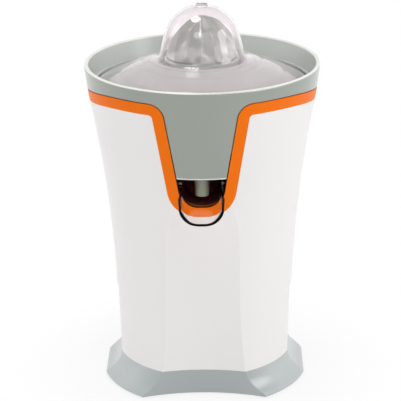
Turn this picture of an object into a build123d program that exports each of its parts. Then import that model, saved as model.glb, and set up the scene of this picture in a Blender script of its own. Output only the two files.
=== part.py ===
from build123d import *
import math
import os

# Citrus press juicer: a tall waisted body with a motor and gearbox inside, a lift-off juice
# bowl with a front apron, a strainer, a reamer cone, a clear dust lid and a tilting clear spout.
# Millimetres. +Z is up, the origin is on the upright axis at floor level, the spout faces -Y.

os.makedirs("parts", exist_ok=True)

# ---------------------------------------------------------------- driving dimensions
# waisted body: its side is one long arc, narrowest near the bottom
waist_radius = 69.3
waist_height = 47.8
flare_arc_radius = 949.0
body_bottom = 21.8
skirt_start = 230.6
rim_radius = 90.0
rim_height = 254.0
wall = 2.5


def side_radius(z):
    """Radius of the body's long side arc at a height."""
    rise = z - waist_height
    return waist_radius + flare_arc_radius - math.sqrt(flare_arc_radius**2 - rise**2)


def skirt_radius(z):
    """Outer radius of the straight flare between the side arc and the rim."""
    start = side_radius(skirt_start)
    return start + (rim_radius - start) * (z - skirt_start) / (rim_height - skirt_start)


# flat pads on the left and right of the body, near the bottom
pad_half_width = 65.6
pad_lean = 0.034
pad_top = 74.0
pad_fade = 10.0

# hollow facet down the front (and back): height, half width at its creases, outward bulge
facet_low = (21.8, 32.0, -3.8)
facet_middle = (90.0, 28.0, -1.5)
facet_high = (155.0, 24.4, 1.8)
facet_end_height = 180.0
facet_end_clearance = 0.8
facet_end_radius = 119.0
facet_reach = 22.0

# flared base
base_bottom = 2.2
base_edge_height = 3.4
base_radius = 81.9
base_edge_chamfer = 1.6
base_hollow = 2.0
base_pad_half_width = 79.0
spigot_height = 5.2
spigot_wall = 2.0
spigot_gap = 0.3

# orange trim line around the top of the body and down both sides of the front opening
trim_front_height = 243.2
trim_bend_y = -62.0
trim_slope = 0.15
trim_back_bend_y = 46.0
trim_bend_radius = 180.0
trim_width = 8.4
trim_corner_radius = 11.5
opening_bottom = 161.9
opening_half_width = 15.2
opening_lean = 0.163
opening_corner_radius = 15.0
opening_above_rim = 40.0
bowl_gap = 0.8

# spout pocket
pocket_back = -44.0
pocket_wall = 2.0

# deck that closes the body under the bowl
deck_bottom = 193.0
deck_thickness = 3.0
deck_gap = 0.3
ledge_depth = 5.0
ledge_height = 3.0
deck_boss_radius = 18.0
deck_boss_top = 214.0
deck_screw_circle = 73.0
deck_screw_boss = 5.0
deck_screw_boss_height = 13.0

# drive train
gear_centres = 26.0
rotor_teeth = 10
idler_wheel_teeth = 55
idler_pinion_teeth = 12
output_teeth = 40
pressure_angle = 25.0
tooth_top = 0.8
tooth_root = 1.0
backlash = 0.16
running_gap = 0.05
box_floor = 143.0
box_floor_thickness = 3.0
box_wall = 2.0
box_room = 1.2
flange_thickness = 2.0
cover_bottom = 168.0
cover_thickness = 2.5
box_screw_x = 27.0
box_screw_front = -12.0
box_screw_back = 44.0
box_corner_radius = 5.0
rotor_pinion_low = 147.5
rotor_pinion_height = 6.0
idler_low = 148.0
idler_wheel_height = 5.0
idler_step = 1.0
idler_top = 165.0
output_low = 157.0
hub_radius = 7.5
hub_top = 179.0
bush_wall = 2.0
bush_top = 176.0
bush_boss_wall = 1.5
axle_seat = 1.0
axial_gap = 0.3
clip_thickness = 1.2
clip_width = 1.8
axle_radius = 2.0

# drive shaft: hexagon, round journal with a thrust collar, hexagon
shaft_radius = 4.0
shaft_low = 160.0
shaft_hex_top = 182.0
shaft_tip_low = 240.0
shaft_tip = 268.0
collar_radius = 15.0
collar_thickness = 3.2
spring_radius = 5.7
spring_wire = 0.6
spring_turns = 3.5
deck_bush_radius = 8.0
seal_height = 2.5
seal_gap = 0.15
seal_groove_land = 0.9
seal_groove_taper = 0.5
seal_groove_depth = 1.2

# motor
can_radius = 30.0
can_wall = 1.5
can_bottom = 95.0
stator_low = 105.0
stator_high = 130.0
stator_bore = 15.2
rotor_radius = 14.6
rotor_shaft_low = 91.0
rotor_shaft_high = 154.5
winding_height = 6.0
winding_round = 1.6
winding_outer_gap = 3.0
winding_inner_gap = 1.5
stator_slots = 8
stator_slot_depth = 9.0
stator_slot_width = 3.4
end_cap_thickness = 3.0
motor_bush_reach = 2.0
can_windows = 4
can_window_width = 12.0
can_window_height = 5.0
can_window_drop = 8.0
pinion_hole_gap = 2.0
motor_screw_x = 17.0

# micro switch under the thrust collar
switch_length = 19.0
switch_width = 10.0
switch_start = 11.5
switch_height = 16.0
plunger_x = 13.2
plunger_radius = 1.3
plunger_height = 8.5
plunger_sunk = 0.5
plunger_round = 0.4
switch_round = 0.8
lug_length = 3.0
lug_reach = 2.5
lug_thickness = 0.8
lug_height = 4.0

# screws
screw_radius = 1.5
screw_head_radius = 3.0
screw_head_height = 2.0
screw_gap = 0.05
screw_hole_end = 2.0
deck_screw_end = 4.0
gearbox_screw_length = 12.0
motor_screw_head_radius = 2.5
motor_screw_head_height = 1.6
motor_screw_reach = 2.0

# feet
foot_radius = 7.0
foot_circle = 66.0
foot_plug_radius = 3.5
foot_plug_height = 3.5
foot_chamfer = 0.6
bottom_screw_x = 54.5
bottom_screw_y = 31.5
bottom_boss_radius = 4.5
bottom_boss_top = 45.0
bottom_screw_hole_end = 3.0
bottom_screw_end = 8.0
air_slots = 7
air_slot_pitch = 8.0
air_slot_length = 40.0
air_slot_width = 3.0

# mains cord inlet at the back of the base
inlet_height = 11.5
inlet_bore = 3.4
inlet_body = 5.2
inlet_flange = 7.6
inlet_flange_thickness = 1.8
inlet_inside = 8.0
inlet_back = 50.0

# bowl
bowl_floor = 204.0
bowl_floor_thickness = 2.5
bowl_side_gap = 0.8
bowl_wall = 2.5
apron_bottom = 185.0
apron_thickness = 3.5
apron_edge_round = 0.8
ledge_z = 233.0
lip_thickness = 3.0
lip_round = 1.3
lip_flat = 0.2
lip_inner_radius = rim_radius - lip_thickness
lip_step_height = 238.9
lip_step_rise = 0.6
step_wall = 1.5
seat_wall = 2.1
basin_wall = 5.5
basin_lean = 2.1
lip_step_radius = skirt_radius(lip_step_height + lip_step_rise) - wall - bowl_side_gap - step_wall
lid_seat_radius = skirt_radius(ledge_z) - wall - bowl_side_gap - seat_wall
basin_radius_high = skirt_radius(ledge_z) - wall - bowl_side_gap - basin_wall
basin_radius_low = basin_radius_high - basin_lean
basin_corner = 2.5
foot_ring_radius = 42.0
foot_ring_wall = 3.0
centre_tube_radius = 21.5
centre_tube_wall = 2.5
centre_tube_top = 234.5
centre_hole_radius = 6.5
nozzle_y = -62.0
nozzle_radius = 5.3
nozzle_bore = 3.8
nozzle_bottom = 168.0
seat_gap = 0.2

# strainer
strainer_thickness = 1.2
strainer_edge_gap = 0.8
strainer_radius = lid_seat_radius - strainer_edge_gap
strainer_dish_radius = 72.0
strainer_hole_radius = 31.0
strainer_collar_top = 249.0
strainer_collar_foot = 36.0
strainer_collar_rise = 4.0
strainer_slots = 32
strainer_slot_width = 2.6
strainer_slot_start = 41.0
strainer_slot_end = 69.0

# reamer cone
cone_base = 251.5
cone_base_radius = 28.9
cone_foot_height = 3.0
cone_mid_height = 268.0
cone_mid_radius = 26.0
cone_shoulder_height = 281.0
cone_shoulder_radius = 16.2
cone_tip = 289.0
cone_flutes = 8
cone_turn = 21.0
flute_radius = 8.0
flute_depth = 3.4
flute_start = 3.5
cone_cavity_radius = 21.5
cone_cavity_taper = 7.5
cone_cavity_top = 264.0
cone_hub_radius = 7.6
cone_hub_bottom = 240.3
cone_hub_top = 273.0

# lid
lid_wall = 1.6
dome_centre_height = 268.2
dome_radius = 29.3
dome_foot_radius = 33.0
dome_foot_height = 259.0
brim_start_radius = 36.0
brim_start_height = 256.0
brim_mid_radius = 58.5
brim_mid_height = 248.4
lid_edge_gap = 1.0
brim_radius = lid_seat_radius - lid_edge_gap
brim_height = 238.2
nub_radius = 4.6
nub_height = 1.6
dome_side_start = 0.94
dome_side_height = 18.0
dome_arc_turn = 0.62

# spout trough
hinge_y = -62.0
hinge_z = 177.0
trough_gap = 0.7
trough_half_width = 16.3
trough_wall = 1.6
trough_rim = 175.7
trough_tip_y = -92.0
tongue_back = -77.3
tongue_drop = 8.7
ear_radius = 5.0
trough_back_angle = 60.0
pin_radius = 2.0
pin_end_gap = 0.2

# ---------------------------------------------------------------- shared values and helpers
UPRIGHT = (Align.CENTER, Align.CENTER, Align.MIN)
far = 160.0
base_depth = body_bottom - base_bottom
deck_top = deck_bottom + deck_thickness
cover_top = cover_bottom + cover_thickness
bowl_fit = wall + bowl_side_gap
shaft_flats = shaft_radius * math.cos(math.radians(30.0))
collar_low = deck_bottom - axial_gap - collar_thickness
lean_cos = math.cos(math.atan(opening_lean))


def rod(radius, low, high, x=0.0, y=0.0):
    """An upright cylinder between two heights."""
    return Pos(x, y, low) * Cylinder(radius, high - low, align=UPRIGHT)


def tube(outer, inner, low, high, x=0.0, y=0.0):
    """An upright tube between two heights."""
    return rod(outer, low, high, x, y) - rod(inner, low - 1.0, high + 1.0, x, y)


def slab(low, high):
    """Everything between two heights."""
    return Pos(0, 0, low) * Box(2 * far, 2 * far, high - low, align=UPRIGHT)


def turned(points):
    """A solid turned about the upright axis from (radius, height) points."""
    return revolve(Plane.XZ * make_face(Polyline(*points, close=True)), Axis.Z)


def hexagon(inner_radius, low, high):
    """An upright hexagonal bar, sized by its flats."""
    outer_radius = inner_radius / math.cos(math.radians(30.0))
    return extrude(Pos(0, 0, low) * RegularPolygon(outer_radius, 6), high - low)


def screw(x, y, head_low, tip, head_up=False):
    """A pan head screw. The head is below the shank, or above it when head_up is set."""
    if head_up:
        head = rod(screw_head_radius, head_low, head_low + screw_head_height, x, y)
        return head + rod(screw_radius - screw_gap, tip, head_low, x, y)
    head = rod(screw_head_radius, head_low, head_low + screw_head_height, x, y)
    return head + rod(screw_radius - screw_gap, head_low + screw_head_height, tip, x, y)


def corners(x, y):
    """The four places at plus and minus x and y."""
    return [(x, y), (-x, y), (-x, -y), (x, -y)]


def save(name, shape):
    """Writes one sub-part."""
    export_step(shape, f"parts/{name}.step")


# ---------------------------------------------------------------- body forms
back_face_y = math.sqrt(side_radius(body_bottom) ** 2 - facet_low[1] ** 2) + facet_low[2]


def barrel(shrink):
    """The body and bowl skirt as one turned solid, its side moved in by shrink."""
    middle = (body_bottom + skirt_start) / 2
    side = ThreePointArc(
        (side_radius(body_bottom) - shrink, body_bottom),
        (side_radius(middle) - shrink, middle),
        (side_radius(skirt_start) - shrink, skirt_start),
    )
    rest = Polyline(
        (side_radius(skirt_start) - shrink, skirt_start),
        (rim_radius - shrink, rim_height),
        (0, rim_height),
        (0, body_bottom),
        (side_radius(body_bottom) - shrink, body_bottom),
    )
    return revolve(Plane.XZ * make_face([side, rest]), Axis.Z)


def facet_section(z, crease, bulge):
    """Cutter section of the front facet at one height: an arc through both creases."""
    chord_y = -math.sqrt(side_radius(z) ** 2 - crease**2)
    radius = (crease**2 + bulge**2) / (2 * abs(bulge))
    return facet_arc(z, chord_y - bulge, math.copysign(radius, bulge), crease + facet_reach)


def facet_arc(z, nearest_y, radius, reach):
    """Closed section: an arc with its middle at nearest_y, and a straight back far outside."""
    edge_y = nearest_y + math.copysign(abs(radius) - math.sqrt(radius**2 - reach**2), radius)
    arc = ThreePointArc((-reach, edge_y), (0, nearest_y), (reach, edge_y))
    back = Polyline((reach, edge_y), (reach, -far), (-reach, -far), (-reach, edge_y))
    return Pos(0, 0, z) * make_face([arc, back])


def body_facet_cutter():
    """The front facet above the base, which fades out below the spout opening."""
    sections = [facet_section(*spec) for spec in (facet_low, facet_middle, facet_high)]
    end_y = -side_radius(facet_end_height) - facet_end_clearance
    reach = facet_high[1] + facet_reach
    sections.append(facet_arc(facet_end_height, end_y, facet_end_radius, reach))
    return loft(sections)


def base_facet_cutter():
    """The front facet through the base, upright."""
    section = facet_section(*facet_low)
    return extrude(Pos(0, 0, -body_bottom) * section, body_bottom)


def both_ends(cutter, shrink):
    """A front cutter moved in by shrink, and its copy at the back."""
    front = Pos(0, shrink, 0) * cutter
    return front + Rot(0, 0, 180) * front


def both_sides(points):
    """A cutter with the given (x, z) outline on the right, and its mirror on the left."""
    face = Plane.XZ * make_face(Polyline(*points, close=True))
    right = extrude(face, far, both=True)
    return right + mirror(right, Plane.YZ)


def faceted_body(shrink, cutter):
    """The body form with its facets and side pads, moved in by shrink."""
    low = pad_half_width - shrink
    high = low + pad_lean * (pad_top - body_bottom)
    pads = both_sides([
        (low, body_bottom - 1),
        (low, body_bottom),
        (high, pad_top),
        (high + pad_fade / 2, pad_top + pad_fade),
        (far, pad_top + pad_fade),
        (far, body_bottom - 1),
    ])
    return barrel(shrink) - both_ends(cutter, shrink) - pads


def flare(top_radius, bottom_radius, shrink):
    """Outline of the base's flared side from its top to the floor edge."""
    edge = bottom_radius - shrink
    upper = edge - base_edge_chamfer
    start = Vector(top_radius - shrink, body_bottom)
    end = Vector(upper, base_edge_height + base_edge_chamfer)
    middle = (start + end) * 0.5
    across = (end - start).normalized()
    hollow = base_hollow * Vector(across.Y, -across.X)
    middle = middle + (hollow if hollow.X < 0 else -1 * hollow)
    curve = ThreePointArc((start.X, start.Y), (middle.X, middle.Y), (end.X, end.Y))
    return curve, start, end, edge


def base_form(shrink):
    """The flared base as a solid with its facets and side pads, moved in by shrink."""
    curve, start, end, edge = flare(side_radius(body_bottom), base_radius, shrink)
    rest = Polyline(
        (end.X, end.Y), (edge, base_edge_height), (edge, base_bottom),
        (0, base_bottom), (0, body_bottom), (start.X, start.Y),
    )
    form = revolve(Plane.XZ * make_face([curve, rest]), Axis.Z)
    curve, start, end, edge = flare(pad_half_width, base_pad_half_width, shrink)
    rest = Polyline(
        (end.X, end.Y), (edge, base_edge_height), (edge, base_bottom - 1),
        (far, base_bottom - 1), (far, body_bottom), (start.X, start.Y),
    )
    right = extrude(Plane.XZ * make_face([curve, rest]), far, both=True)
    pads = right + mirror(right, Plane.YZ)
    return form - both_ends(base_facet_cutter(), shrink) - pads


# ---------------------------------------------------------------- trim line and opening
def opening_half(z, grow):
    """Half width of the front opening at a height, grown outwards by grow."""
    return opening_half_width + opening_lean * (z - opening_bottom) + grow / lean_cos


def front_plane(y):
    """An upright plane facing the front."""
    return Plane(origin=(0, y, 0), x_dir=(1, 0, 0), z_dir=(0, -1, 0))


def opening_outline(grow, top):
    """The opening's outline up to a height: leaning sides and a rounded bottom."""
    bottom = opening_bottom - grow
    low, high = opening_half(bottom, grow), opening_half(top, grow)
    face = make_face(Polyline((-low, bottom), (low, bottom), (high, top), (-high, top), close=True))
    return fillet(face.vertices().sort_by(Axis.Y)[:2], opening_corner_radius + grow)


def opening_prism(grow, y_front, y_back):
    """The opening's outline pushed through from front to back."""
    outline = opening_outline(grow, rim_height + opening_above_rim)
    return extrude(front_plane(y_back) * outline, y_back - y_front)


def above_trim(grow):
    """Everything above the trim line or inside the opening, grown down and out by grow."""
    line = trim_front_height - grow
    drop = trim_slope * (trim_back_bend_y - trim_bend_y)
    sheet = make_face(Polyline(
        (-far, line), (trim_bend_y, line), (trim_back_bend_y, line - drop), (far, line - drop),
        (far, far * 2), (-far, far * 2), close=True,
    ))
    bends = [v for v in sheet.vertices() if abs(v.X) < far - 1]
    region = extrude(Plane.YZ * fillet(bends, trim_bend_radius), far, both=True)
    bottom = opening_bottom - grow
    low, high = opening_half(bottom, grow), opening_half(line, grow)
    front = make_face(Polyline(
        (-low, bottom), (low, bottom), (high, line), (far, line), (far, far * 2),
        (-far, far * 2), (-far, line), (-high, line), close=True,
    ))
    inner = [v for v in front.vertices() if abs(v.Y - line) < 0.01 and abs(v.X) < far - 1]
    front = fillet(inner, trim_corner_radius - grow)
    lowest = front.vertices().sort_by(Axis.Y)[:2]
    front = fillet(lowest, opening_corner_radius + grow)
    return region + extrude(front_plane(trim_bend_y) * front, far + trim_bend_y)


# ---------------------------------------------------------------- body pieces
facet_cutter = body_facet_cutter()
outer_form = faceted_body(0.0, facet_cutter)
inner_form = faceted_body(wall, facet_cutter)
skin = outer_form - inner_form
bowl_region = above_trim(-bowl_gap)


def make_body_shell():
    """White outer body with the deck ledge, deck screw bosses and bottom screw bosses."""
    shell = skin - above_trim(trim_width)
    ledge = inner_form - barrel(wall + ledge_depth)
    ledge = ledge & slab(deck_bottom - ledge_height, deck_bottom)
    bosses = Part() + [
        rod(deck_screw_boss, deck_bottom - deck_screw_boss_height, deck_bottom, x, y)
        for x, y in corners(deck_screw_circle / math.sqrt(2), deck_screw_circle / math.sqrt(2))
    ]
    bosses += [
        rod(bottom_boss_radius, body_bottom + spigot_height + spigot_gap, bottom_boss_top, x, y)
        for x, y in corners(bottom_screw_x, bottom_screw_y)
    ]
    inside = (ledge + bosses) & inner_form
    inside -= opening_prism(pocket_wall + seat_gap, -far, 0)
    shell = shell + inside
    for x, y in corners(deck_screw_circle / math.sqrt(2), deck_screw_circle / math.sqrt(2)):
        hole_low = deck_bottom - deck_screw_boss_height + screw_hole_end
        shell -= rod(screw_radius, hole_low, deck_bottom + 1, x, y)
    for x, y in corners(bottom_screw_x, bottom_screw_y):
        shell -= rod(screw_radius, body_bottom, bottom_boss_top - bottom_screw_hole_end, x, y)
    return shell


def make_orange_trim():
    """Orange band under the bowl skirt and round the spout opening, flush with the body."""
    return (skin & above_trim(trim_width)) - above_trim(0.0)


def make_base_shell():
    """Grey flared base with a spigot that locates the body and bosses for the bottom screws."""
    lip = faceted_body(wall + spigot_gap, facet_cutter)
    hollow = faceted_body(wall + spigot_gap + spigot_wall, facet_cutter)
    shell = base_form(0.0) - (base_form(wall) & slab(0, body_bottom - wall))
    shell -= Pos(0, 0, -wall * 2) * (hollow & slab(body_bottom, body_bottom + 3 * wall))
    shell += (lip - hollow) & slab(body_bottom, body_bottom + spigot_height)
    for x, y in corners(bottom_screw_x, bottom_screw_y):
        boss = rod(bottom_boss_radius, base_bottom + wall, body_bottom + spigot_height, x, y)
        shell += boss & (hollow + base_form(wall / 2))
    for x, y in corners(bottom_screw_x, bottom_screw_y):
        shell -= rod(screw_radius + screw_gap, 0, bottom_boss_top, x, y)
    return shell - inlet_hole()


def inlet_hole():
    """The round way through the back of the base for the cord inlet."""
    back = front_plane(far) * Pos(0, inlet_height) * Circle(inlet_body)
    return extrude(back, far - inlet_back)


def make_cord_inlet():
    """Ring gland in the back of the base: the mains lead would pass through its bore."""
    outside = back_face_y + inlet_flange_thickness
    inside = back_face_y - inlet_inside
    plane = front_plane(outside)
    place = Pos(0, inlet_height)
    gland = extrude(plane * place * Circle(inlet_flange), inlet_flange_thickness - seat_gap)
    gland += extrude(plane * place * Circle(inlet_body), outside - inside)
    nut_start = front_plane(back_face_y - wall - seat_gap)
    gland += extrude(nut_start * place * Circle(inlet_flange - 1), inlet_flange_thickness)
    return gland - extrude(plane * place * Circle(inlet_bore), outside - inside)


def make_bottom_plate():
    """Plate that closes the base from below, with foot holes, screw holes and air slots."""
    plate = base_form(wall + seat_gap) & slab(base_bottom, base_bottom + wall)
    for x, y in corners(foot_circle / math.sqrt(2), foot_circle / math.sqrt(2)):
        plate -= rod(foot_plug_radius, 0, body_bottom, x, y)
    for x, y in corners(bottom_screw_x, bottom_screw_y):
        plate -= rod(screw_radius + screw_gap, 0, body_bottom, x, y)
    for place in GridLocations(air_slot_pitch, 0, air_slots, 1):
        slot = SlotOverall(air_slot_length, air_slot_width, rotation=90)
        plate -= extrude(place * slot, body_bottom)
    return plate


def make_rubber_feet():
    """Four rubber feet, each with a plug through the bottom plate."""
    feet = []
    for x, y in corners(foot_circle / math.sqrt(2), foot_circle / math.sqrt(2)):
        pad = rod(foot_radius, 0, base_bottom, x, y)
        pad = chamfer(pad.edges().filter_by(GeomType.CIRCLE).sort_by(Axis.Z)[0], foot_chamfer)
        feet.append(pad + rod(foot_plug_radius, base_bottom, base_bottom + foot_plug_height, x, y))
    return Compound(feet)


def make_bottom_screws():
    """Four long screws from the bottom plate through the base into the body."""
    low = base_bottom - screw_head_height
    tip = bottom_boss_top - bottom_screw_end
    return Compound([screw(x, y, low, tip) for x, y in corners(bottom_screw_x, bottom_screw_y)])


def make_spout_pocket():
    """Black liner behind the front opening: rounded floor, side walls and a back wall."""
    walls = opening_prism(pocket_wall, -far, pocket_back - pocket_wall)
    walls -= opening_prism(0.0, -far - 1, pocket_back - pocket_wall)
    back = opening_prism(pocket_wall, pocket_back - pocket_wall, pocket_back)
    liner = ((walls + back) & slab(0, deck_top)) & inner_form
    for side in (-1, 1):
        hole = Plane.YZ * Pos(hinge_y, hinge_z) * Circle(pin_radius)
        liner -= extrude(hole, side * far)
    return liner


def make_top_deck():
    """Deck on the body's ledge, with the shaft boss, gearbox posts and a notch for the pocket."""
    plate = faceted_body(wall + deck_gap, facet_cutter) & slab(deck_bottom, deck_top)
    deck = plate + rod(deck_boss_radius, deck_bottom, deck_boss_top)
    for x, y in box_screws():
        deck += rod(bottom_boss_radius, cover_top, deck_bottom, x, y)
    for x, y in box_screws():
        deck -= rod(screw_radius, cover_top - 1, cover_top + gearbox_screw_length + screw_hole_end, x, y)
    for x, y in corners(deck_screw_circle / math.sqrt(2), deck_screw_circle / math.sqrt(2)):
        deck -= rod(screw_radius + screw_gap, deck_bottom - 1, deck_top + 1, x, y)
    deck -= rod(deck_bush_radius, deck_bottom - 1, deck_boss_top + 1)
    return deck - opening_prism(pocket_wall + running_gap, -far, pocket_back + running_gap)


def make_deck_screws():
    """Four screws that hold the deck to the body."""
    side = deck_screw_circle / math.sqrt(2)
    tip = deck_bottom - deck_screw_boss_height + deck_screw_end
    return Compound([screw(x, y, deck_top, tip, head_up=True) for x, y in corners(side, side)])


# ---------------------------------------------------------------- drive train
def box_screws():
    """Places of the four gearbox screws."""
    return [(x, y) for x in (-box_screw_x, box_screw_x) for y in (box_screw_front, box_screw_back)]


def tooth_module(a, b):
    """Tooth module of a pair on the common centre distance."""
    return 2 * gear_centres / (a + b)


def gear(teeth, module, low, high, first_tooth, y=0.0):
    """An involute spur gear. first_tooth is the direction of one tooth's middle, in degrees."""
    pitch_radius = module * teeth / 2
    base = pitch_radius * math.cos(math.radians(pressure_angle))
    tip, root = pitch_radius + tooth_top * module, pitch_radius - tooth_root * module

    def involute(radius):
        roll = math.acos(min(1.0, base / radius))
        return math.tan(roll) - roll

    half = (math.pi * module / 2 - backlash / 2) / (2 * pitch_radius)
    start = max(base, root)
    radii = [start + (tip - start) * step / 3 for step in range(4)]
    flank = [(r, half + involute(pitch_radius) - involute(r)) for r in radii]
    if root < base:
        flank = [(root, flank[0][1])] + flank
    points = []
    for n in range(teeth):
        middle = math.radians(first_tooth + 360.0 * n / teeth)
        sides = [(r, middle - a) for r, a in flank] + [(r, middle + a) for r, a in reversed(flank)]
        points += [(r * math.cos(a), r * math.sin(a)) for r, a in sides]
    face = make_face(Polyline(*points, close=True))
    return extrude(Pos(0, y, low) * face, high - low)


wheel_module = tooth_module(rotor_teeth, idler_wheel_teeth)
output_module = tooth_module(idler_pinion_teeth, output_teeth)


def box_outline(grow):
    """Room for both gear axes, seen from above."""
    output = Circle(output_module * output_teeth / 2 + box_room + grow)
    idler = Circle(wheel_module * idler_wheel_teeth / 2 + box_room + grow)
    return output + Pos(0, gear_centres) * idler


def flange_outline():
    """Rounded rectangle that carries the four gearbox screws."""
    middle = (box_screw_front + box_screw_back) / 2
    width = 2 * (box_screw_x + box_corner_radius)
    depth = box_screw_back - box_screw_front + 2 * box_corner_radius
    return Pos(0, middle) * RectangleRounded(width, depth, box_corner_radius)


def make_gearbox_housing():
    """Lower half of the gearbox: floor, wall round both axes and the screw flange."""
    floor_top = box_floor + box_floor_thickness
    cup = extrude(Pos(0, 0, box_floor) * box_outline(box_wall), cover_bottom - box_floor)
    flange = Pos(0, 0, cover_bottom - flange_thickness) * flange_outline()
    cup += extrude(flange, flange_thickness)
    cup -= extrude(Pos(0, 0, floor_top) * box_outline(0.0), far)
    cup += rod(2 * axle_radius, floor_top, idler_low - axial_gap, 0, gear_centres)
    cup -= rod(axle_radius, box_floor + axle_seat, far * 2, 0, gear_centres)
    cup -= rod(wheel_module * rotor_teeth / 2 + pinion_hole_gap, 0, far)
    for x in (-motor_screw_x, motor_screw_x):
        cup -= rod(screw_radius + screw_gap, 0, far, x)
    for x, y in box_screws():
        cup -= rod(screw_radius + screw_gap, 0, far * 2, x, y)
    return cup


def make_gearbox_cover():
    """Upper half of the gearbox: plate with the output bush boss and the idler axle seat."""
    boss_radius = hub_radius + running_gap + bush_wall + bush_boss_wall
    cover = extrude(Pos(0, 0, cover_bottom) * flange_outline(), cover_thickness)
    cover += rod(boss_radius, output_bush_low(), bush_top)
    cover += rod(2 * axle_radius, idler_top + axial_gap, cover_bottom, 0, gear_centres)
    cover -= rod(axle_radius, 0, cover_top - axle_seat, 0, gear_centres)
    cover -= rod(hub_radius + running_gap + bush_wall, 0, far * 2)
    for x, y in box_screws():
        cover -= rod(screw_radius + screw_gap, 0, far * 2, x, y)
    return cover


def output_bush_low():
    """Lower end of the output bush, just above the output gear."""
    return idler_top + axial_gap


def make_gear_bush():
    """Sintered bush that carries the output gear's hub in the cover."""
    bore = hub_radius + running_gap
    return tube(bore + bush_wall, bore, output_bush_low(), bush_top)


def make_output_gear():
    """Output wheel with its long hub and a hexagonal bore for the sliding drive shaft."""
    wheel = gear(output_teeth, output_module, output_low, idler_top, 90.0)
    wheel += rod(hub_radius, output_low, hub_top)
    return wheel - hexagon(shaft_flats + running_gap, 0, far * 2)


def make_gear_clip():
    """Retaining clip on the hub, above the bush."""
    low = bush_top + axial_gap
    return tube(hub_radius + clip_width, hub_radius, low, low + clip_thickness)


def make_idler_gear():
    """Idler: a large wheel driven by the motor pinion and a small pinion above it."""
    gap_down = 270.0
    wheel_top = idler_low + idler_wheel_height
    wheel_first = gap_down + 180.0 / idler_wheel_teeth
    wheel = gear(idler_wheel_teeth, wheel_module, idler_low, wheel_top, wheel_first, gear_centres)
    pinion_first = gap_down + 180.0 / idler_pinion_teeth
    pinion = gear(
        idler_pinion_teeth, output_module, wheel_top + idler_step, idler_top, pinion_first, gear_centres
    )
    neck = output_module * idler_pinion_teeth / 2 - output_module
    idler = wheel + pinion + rod(neck, idler_low, idler_top, 0, gear_centres)
    return idler - rod(axle_radius + running_gap, 0, far * 2, 0, gear_centres)


def make_idler_axle():
    """Steel axle of the idler, held in the housing floor and the cover."""
    return rod(axle_radius, box_floor + axle_seat, cover_top - axle_seat, 0, gear_centres)


def make_gearbox_screws():
    """Four screws that hang the gearbox on the deck's posts."""
    low = cover_bottom - flange_thickness - screw_head_height
    return Compound([screw(x, y, low, cover_top + gearbox_screw_length) for x, y in box_screws()])


def make_drive_shaft():
    """Sliding shaft: hexagon in the output gear, journal with thrust collar, hexagonal tip."""
    shaft = hexagon(shaft_flats, shaft_low, shaft_hex_top)
    shaft += rod(shaft_radius, shaft_hex_top, shaft_tip_low)
    shaft += hexagon(shaft_flats, shaft_tip_low, shaft_tip)
    return shaft + rod(collar_radius, collar_low, collar_low + collar_thickness)


def make_return_spring():
    """Coil spring between the output gear's hub and the thrust collar."""
    low = hub_top + spring_wire
    height = collar_low - spring_wire - low
    path = Helix(height / spring_turns, height, spring_radius)
    start = Plane(origin=path @ 0, z_dir=path % 0)
    return Pos(0, 0, low) * sweep(start * Circle(spring_wire), path=path)


def make_deck_bush():
    """Bush in the deck's boss that guides the shaft."""
    top = deck_boss_top - seal_height
    return tube(deck_bush_radius, shaft_radius + running_gap, deck_bottom, top)


def make_shaft_seal():
    """Rubber lip seal that keeps juice out of the shaft bush."""
    low = deck_boss_top - seal_height
    seal = tube(deck_bush_radius, shaft_radius + seal_gap, low, deck_boss_top)
    inner, outer = shaft_radius + seal_groove_land, deck_bush_radius - seal_groove_land
    groove = turned([
        (inner, deck_boss_top + 1),
        (outer, deck_boss_top + 1),
        (outer, deck_boss_top),
        (outer - seal_groove_taper, deck_boss_top - seal_groove_depth),
        (inner + seal_groove_taper, deck_boss_top - seal_groove_depth),
        (inner, deck_boss_top),
    ])
    return seal - groove


# ---------------------------------------------------------------- motor
def make_motor_can():
    """Drawn steel can with its top plate under the gearbox floor."""
    can = rod(can_radius, can_bottom, box_floor)
    can -= rod(can_radius - can_wall, can_bottom - 1, box_floor - can_wall)
    can -= rod(2 * axle_radius, 0, far)
    for x in (-motor_screw_x, motor_screw_x):
        can -= rod(screw_radius, 0, far, x)
    window = Pos(far, 0, stator_low - can_window_drop) * Box(
        2 * far, can_window_width, can_window_height, align=UPRIGHT
    )
    for turn in range(can_windows):
        can -= Rot(0, 0, 360.0 * (turn + 0.5) / can_windows) * window
    return can


def make_motor_bushes():
    """Two sintered bushes for the rotor shaft, in the can's top plate and in the end cap."""
    bore = axle_radius + running_gap
    upper = tube(2 * axle_radius, bore, box_floor - can_wall - motor_bush_reach, box_floor)
    lower_top = can_bottom + end_cap_thickness
    return Compound([upper, tube(2 * axle_radius, bore, can_bottom - motor_bush_reach, lower_top)])


def make_motor_end_cap():
    """Moulded cap in the lower end of the motor can."""
    cap = rod(can_radius - can_wall - running_gap, can_bottom, can_bottom + end_cap_thickness)
    cap += rod(4 * axle_radius, can_bottom - motor_bush_reach, can_bottom)
    return cap - rod(2 * axle_radius, 0, far)


def make_stator_core():
    """Laminated stator ring with pole slots."""
    outer = can_radius - can_wall - running_gap
    core = tube(outer, stator_bore, stator_low, stator_high)
    slot = Pos(stator_bore, 0, 0) * Box(2 * stator_slot_depth, stator_slot_width, 2 * far)
    for turn in range(stator_slots):
        core -= Rot(0, 0, 360.0 * turn / stator_slots) * slot
    return core


def make_stator_windings():
    """Copper end windings above and below the stator core."""
    outer = can_radius - can_wall - winding_outer_gap
    inner = stator_bore + winding_inner_gap
    rings = [
        tube(outer, inner, stator_low - winding_height, stator_low),
        tube(outer, inner, stator_high, stator_high + winding_height),
    ]
    rounded = []
    for ring in rings:
        edges = ring.edges().filter_by(GeomType.CIRCLE)
        rounded.append(fillet(edges, winding_round))
    return Compound(rounded)


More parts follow.
